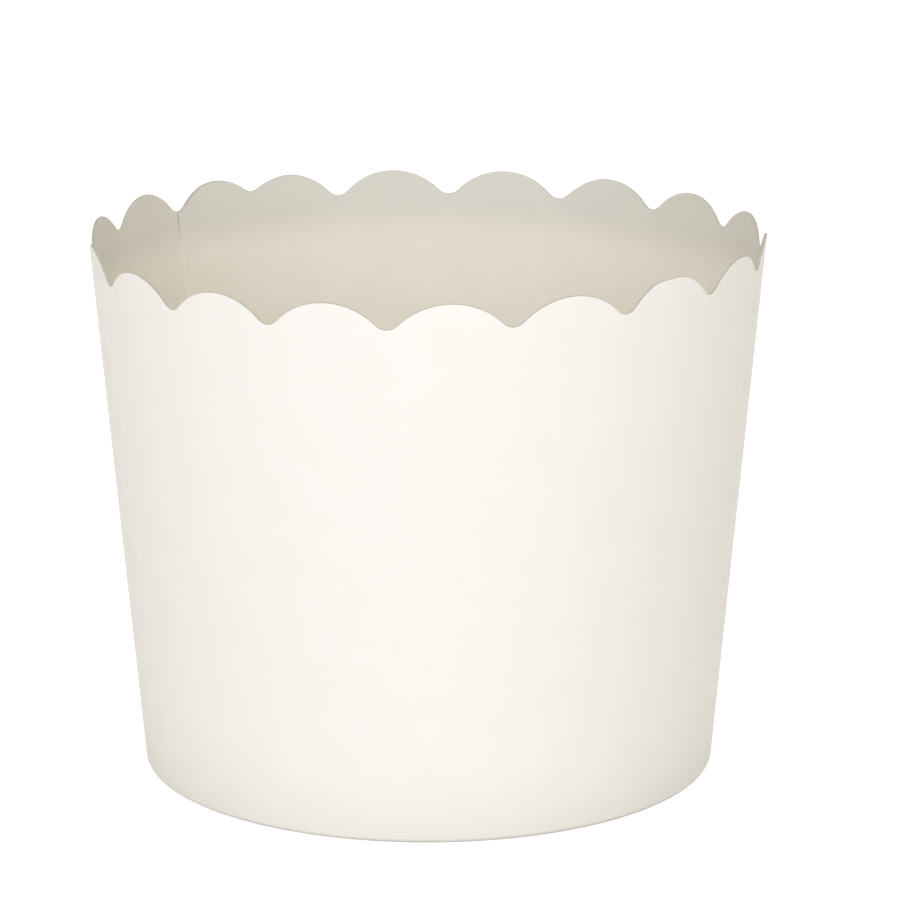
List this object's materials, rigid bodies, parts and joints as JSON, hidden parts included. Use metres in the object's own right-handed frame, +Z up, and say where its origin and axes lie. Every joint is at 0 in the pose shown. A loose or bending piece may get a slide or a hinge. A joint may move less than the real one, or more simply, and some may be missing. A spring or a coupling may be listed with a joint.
{
  "type": "scalloped paper baking cup",
  "caption": "Free-standing paper baking cup: a tapered wall with a scalloped rim and a lapped side seam, folded round a raised flat base.",
  "frame": {"origin": "on the cup's axis, in the plane of the ring that it stands on", "axes": "+Z up along the cup's axis, towards the open scalloped end; -Y is the side that faces the viewer; the side seam is at the back left, and its cut end that shows inside the cup is 141.8 degrees round from +X towards +Y"},
  "size_m": [0.0599, 0.06, 0.0483],
  "materials": {
    "wall_paper": "matt greaseproof paper, warm white, with a faint sheen outside",
    "base_paper": "matt greaseproof paper, warm white"
  },
  "bodies": {
    "root": {"side_wall": "wall_paper", "base_disc": "base_paper"}
  },
  "joints": []
}
